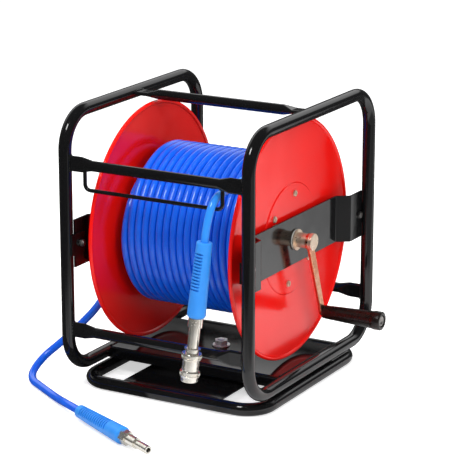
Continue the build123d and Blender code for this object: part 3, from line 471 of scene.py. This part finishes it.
easedParts = {
    "sidePlateLeft": ("side_plate_left", 0.0005, frameBlack, "frame", "frame_black"),
    "sidePlateRight": ("side_plate_right", 0.0005, frameBlack, "frame", "frame_black"),
    "turnPlate": ("turn_plate", 0.0006, frameBlack, "frame", "frame_black"),
    "basePlate": ("base_plate", 0.0005, frameBlack, "base", "frame_black"),
    "crankArm": ("crank_arm", 0.0008, yellowZinc, "drum", "yellow_zinc"),
    "crankWasher": ("crank_washer", 0.0003, paleZinc, "drum", "yellow_zinc"),
    "pivotNut": ("pivot_nut", 0.0007, brightZinc, "base", "zinc"),
    "pivotWasher": ("pivot_washer", 0.0003, brightZinc, "base", "zinc"),
    "boltLeftFront": ("plate_bolt_left_front", 0.0004, oiledSteel, "frame", "zinc"),
    "boltLeftRear": ("plate_bolt_left_rear", 0.0004, oiledSteel, "frame", "zinc"),
    "boltRightFront": ("plate_bolt_right_front", 0.0004, oiledSteel, "frame", "zinc"),
    "boltRightRear": ("plate_bolt_right_rear", 0.0004, oiledSteel, "frame", "zinc"),
}
for name, (nodeName, width, mat, body, slotName) in easedParts.items():
    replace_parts(addPiece(name, eased(nodeName, width), mat, body), nodeName)
print("edges broken on", len(easedParts), "parts")

# disc screws with cross recesses; the dome is (height, share of the head's radius)
screws = {"ring": 0.070, "count": 6, "turn": 22, "face": 0.123, "headRadius": 0.0052, "head": 0.003,
          "dome": ((0, 1), (0.0007, 1), (0.0022, 0.93), (0.0027, 0.88), (0.003, 0.8)), "shank": 0.0025,
          "long": 0.008, "slotLong": 0.0052, "slotWide": 0.0011, "slotDeep": 0.0016, "slotTurn": 5.3,
          "steps": 24}
outline = [(-screws["long"], 0), (-screws["long"], screws["shank"]), (0, screws["shank"])]
outline += [(height, screws["headRadius"] * share) for height, share in screws["dome"]]
outline.append((screws["head"], 0))
slotSizes = ((screws["slotWide"], screws["slotLong"]), (screws["slotLong"], screws["slotWide"]))
for sideName, facing in (("left", -1), ("right", 1)):
    heads, slots = [], ([], [])
    for k in range(screws["count"]):
        angle, twist = radians(screws["turn"] + 360 / screws["count"] * k), screws["slotTurn"] * k
        y, z = screws["ring"] * cos(angle), axleHeight + screws["ring"] * sin(angle)
        place = standing((facing * screws["face"], y, z), (facing, 0, 0), (0, cos(twist), sin(twist)))
        head = spun(outline, screws["steps"])
        head.transform(place)
        heads.append(head)
        for row, size in zip(slots, slotSizes):
            block = bmesh.new()
            bmesh.ops.create_cube(block, size=1)
            bmesh.ops.scale(block, verts=block.verts, vec=(*size, 2 * screws["slotDeep"]))
            bmesh.ops.translate(block, verts=block.verts, vec=(0, 0, screws["head"]))
            block.transform(place)
            row.append(block)
    pieceName = "discScrews" + sideName.capitalize()
    once = bmesh.new()
    once.from_mesh(cutAway(joined(heads), joined(slots[0]), pieceName))
    screwMesh = cutAway(once, joined(slots[1]), pieceName)
    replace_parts(addPiece(pieceName, screwMesh, paleZinc, "drum"), "disc_screws_" + sideName)
print("screws set:", 2 * screws["count"])

# weld beads where bars, plates and guide wire meet the tubes
welds = {"radius": 0.0015, "around": 3, "fine": 3, "step": 0.0022, "ripple": 0.28, "wander": 0.08,
         "wanderRate": 2.3}
barWeld = {"tubeX": 0.157, "tubeRadius": 0.010, "halfFlat": 0.0034, "halfTall": 0.0124, "flatPower": 0.5,
           "tallPower": 0.8, "points": 32,
           "bars": ((-0.196, 0.363), (-0.196, 0.102), (0.196, 0.102), (0, 0.435))}
turnPlateWeld = {"x": 0.1505, "startY": -0.086, "z": 0.0432, "points": 79}
basePlateWeld = {"y": 0.1545, "startX": -0.083, "z": 0.0172, "points": 76}
guideWeld = {"ends": (-0.122, 0.114), "barY": -0.196, "barZ": 0.363, "barRadius": 0.008, "wire": 0.0031,
             "points": 10}


def bead(name, runs, closed, body):
    line = tubeCurve(name, runs, welds["radius"], welds["around"], welds["fine"], closed)
    for spline in line.splines:
        for k, place in enumerate(spline.points):
            place.radius = 1 + welds["ripple"] * (-1) ** k + welds["wander"] * sin(welds["wanderRate"] * k)
    addPiece(name, line, frameBlack, body)


def fullCircle(points):
    return [2 * pi * k / points for k in range(points)]


loops = []
for facing in (-1, 1):
    for barY, barZ in barWeld["bars"]:
        loop = []
        for angle in fullCircle(barWeld["points"]):
            flat = barWeld["halfFlat"] * copysign(abs(cos(angle)) ** barWeld["flatPower"], cos(angle))
            tall = barWeld["halfTall"] * copysign(abs(sin(angle)) ** barWeld["tallPower"], sin(angle))
            x = facing * (barWeld["tubeX"] - sqrt(barWeld["tubeRadius"] ** 2 - flat ** 2))
            loop.append((x, barY + flat, barZ + tall) if barY else (x, barY + tall, barZ + flat))
        loops.append(loop)
bead("barWelds", loops, True, "frame")

seams = [[(facing * turnPlateWeld["x"], turnPlateWeld["startY"] + welds["step"] * k, turnPlateWeld["z"])
          for k in range(turnPlateWeld["points"])] for facing in (-1, 1)]
bead("turnPlateWelds", seams, False, "frame")
seams = [[(basePlateWeld["startX"] + welds["step"] * k, facing * basePlateWeld["y"], basePlateWeld["z"])
          for k in range(basePlateWeld["points"])] for facing in (-1, 1)]
bead("basePlateWelds", seams, False, "base")

rings = []
for x in guideWeld["ends"]:
    ring = []
    for angle in fullCircle(guideWeld["points"]):
        side = guideWeld["wire"] * sin(angle)
        drop = sqrt(guideWeld["barRadius"] ** 2 - side ** 2)
        ring.append((x + guideWeld["wire"] * cos(angle), guideWeld["barY"] + side, guideWeld["barZ"] - drop))
    rings.append(ring)
bead("guideWelds", rings, True, "frame")
print("welds laid")

# white floor, which paint and metal mirror as a bright card with dark round it
stage = {"floorSize": 9.0, "floorDrop": 0.0002, "floorColour": (0.86, 0.86, 0.86), "floorGlow": 0.57,
         "dark": 0.08, "frontFade": (-0.25, -0.8), "cardWay": (-0.87, 0.49, 0), "cardEdge": (0.12, 0.10, 0),
         "cardSoft": 0.004, "cardWide": 0.42, "besideDark": 0.75, "besideSoft": 0.1}
ground = bmesh.new()
bmesh.ops.create_grid(ground, x_segments=1, y_segments=1, size=stage["floorSize"] / 2)
floor = bpy.data.objects.new("floor", meshFrom(ground, "floor"))
floor.location.z = -stage["floorDrop"]
scene.collection.objects.link(floor)
floorMat = bpy.data.materials.new("paleFloor")
floorMat.use_nodes = True
floor.data.materials.append(floorMat)
tree = floorMat.node_tree
tree.nodes.remove(tree.nodes["Principled BSDF"])
rays = tree.nodes.new("ShaderNodeLightPath").outputs
where = tree.nodes.new("ShaderNodeTexCoord").outputs["Object"]

plain = tree.nodes.new("ShaderNodeBsdfDiffuse")
plain.inputs["Color"].default_value = (*stage["floorColour"], 1)
glow = tree.nodes.new("ShaderNodeEmission")
glow.inputs["Color"].default_value = (1, 1, 1, 1)
tree.links.new(spread(tree, rays["Is Camera Ray"], 0, stage["floorGlow"], 0, 1), glow.inputs["Strength"])
lit = tree.nodes.new("ShaderNodeAddShader")
tree.links.new(plain.outputs[0], lit.inputs[0])
tree.links.new(glow.outputs[0], lit.inputs[1])
unlit = tree.nodes.new("ShaderNodeEmission")
unlit.inputs["Color"].default_value = (1, 1, 1, 1)
unlit.inputs["Strength"].default_value = stage["dark"]

front = spread(tree, reachAlong(tree, where, (0, 1, 0)), 0, 1, *stage["frontFade"])
aside = reachAlong(tree, where, stage["cardWay"])
nearEdge = sum(a * b for a, b in zip(stage["cardWay"], stage["cardEdge"]))
farEdge = nearEdge - stage["cardWide"]
behind = spread(tree, aside, 0, 1, nearEdge - stage["cardSoft"], nearEdge + stage["cardSoft"])
beside = spread(tree, aside, 0, stage["besideDark"], farEdge, farEdge - stage["besideSoft"])
offCard = combine(tree, "MAXIMUM", combine(tree, "MAXIMUM", front, behind), beside)
pick = tree.nodes.new("ShaderNodeMixShader")
tree.links.new(combine(tree, "MULTIPLY", offCard, rays["Is Glossy Ray"]), pick.inputs[0])
tree.links.new(lit.outputs[0], pick.inputs[1])
tree.links.new(unlit.outputs[0], pick.inputs[2])
tree.links.new(pick.outputs[0], tree.nodes["Material Output"].inputs["Surface"])

# white room, which paint and metal mirror as a bright band on the far wall
walls = {"glow": 0.5, "seenGlow": 1, "bright": 1.3, "dark": 0.08, "nearWay": (0.49, -0.85, 0.2),
         "nearFade": (-0.45, -0.15), "bandFoot": (0.3, 0.4), "bandTop": (0.6, 0.72)}
room = scene.world or bpy.data.worlds.new("room")
scene.world = room
room.use_nodes = True
tree = room.node_tree
back = tree.nodes["Background"]
back.inputs["Color"].default_value = (1, 1, 1, 1)
rays = tree.nodes.new("ShaderNodeLightPath").outputs
way = tree.nodes.new("ShaderNodeTexCoord").outputs["Generated"]
height = reachAlong(tree, way, upZ)
nearness = reachAlong(tree, way, walls["nearWay"])
fromNear = spread(tree, nearness, walls["bright"], walls["dark"], *walls["nearFade"])
fromLow = spread(tree, height, walls["dark"], walls["bright"], *walls["bandFoot"])
fromHigh = spread(tree, height, walls["bright"], walls["dark"], *walls["bandTop"])
band = combine(tree, "MINIMUM", combine(tree, "MINIMUM", fromNear, fromLow), fromHigh)
glossMix = tree.nodes.new("ShaderNodeMix")
glossMix.inputs["A"].default_value = walls["glow"]
tree.links.new(rays["Is Glossy Ray"], glossMix.inputs["Factor"])
tree.links.new(band, glossMix.inputs["B"])
seenMix = tree.nodes.new("ShaderNodeMix")
seenMix.inputs["B"].default_value = walls["seenGlow"]
seen = combine(tree, "MAXIMUM", rays["Is Camera Ray"], rays["Is Transmission Ray"])
tree.links.new(seen, seenMix.inputs["Factor"])
tree.links.new(glossMix.outputs["Result"], seenMix.inputs["A"])
tree.links.new(seenMix.outputs["Result"], back.inputs["Strength"])


# lamps and camera
def aimed(place, target):
    return (Vector(target) - Vector(place)).to_track_quat("-Z", "Y").to_euler()


lampTarget = (0, 0, 0.22)
lampList = {
    "keyLamp": {"place": (-0.15, -1.45, 2.05), "size": (0.5, 0.55), "watts": 17, "mirrored": True},
    "leftLamp": {"place": (-1.5, -0.5, 1.6), "size": (1.0, 1.0), "watts": 6, "mirrored": False},
    "rightLamp": {"place": (1.9, -0.9, 1.3), "size": (1.2, 1.2), "watts": 26, "mirrored": False},
    "topLamp": {"place": (0.1, 0.25, 2.3), "size": (1.2, 1.2), "watts": 30, "mirrored": False},
}
for name, lamp in lampList.items():
    light = bpy.data.lights.new(name, "AREA")
    light.shape = "RECTANGLE"
    light.size, light.size_y = lamp["size"]
    light.energy = lamp["watts"]
    holder = bpy.data.objects.new(name, light)
    holder.location = lamp["place"]
    holder.visible_glossy = lamp["mirrored"]
    holder.rotation_euler = aimed(lamp["place"], lampTarget)
    scene.collection.objects.link(holder)

lens = {"place": (1.6464, -2.8884, 1.1612), "target": (0.01002, 0.00707, 0.22972), "focal": 173.12,
        "sensor": 36}
camera = bpy.data.objects.new("photoCamera", bpy.data.cameras.new("photoCamera"))
camera.data.lens = lens["focal"]
camera.data.sensor_width = lens["sensor"]
camera.location = lens["place"]
camera.rotation_euler = aimed(lens["place"], lens["target"])
scene.collection.objects.link(camera)
scene.camera = camera
scene.view_settings.view_transform = "Standard"
print("stage lit, camera set")
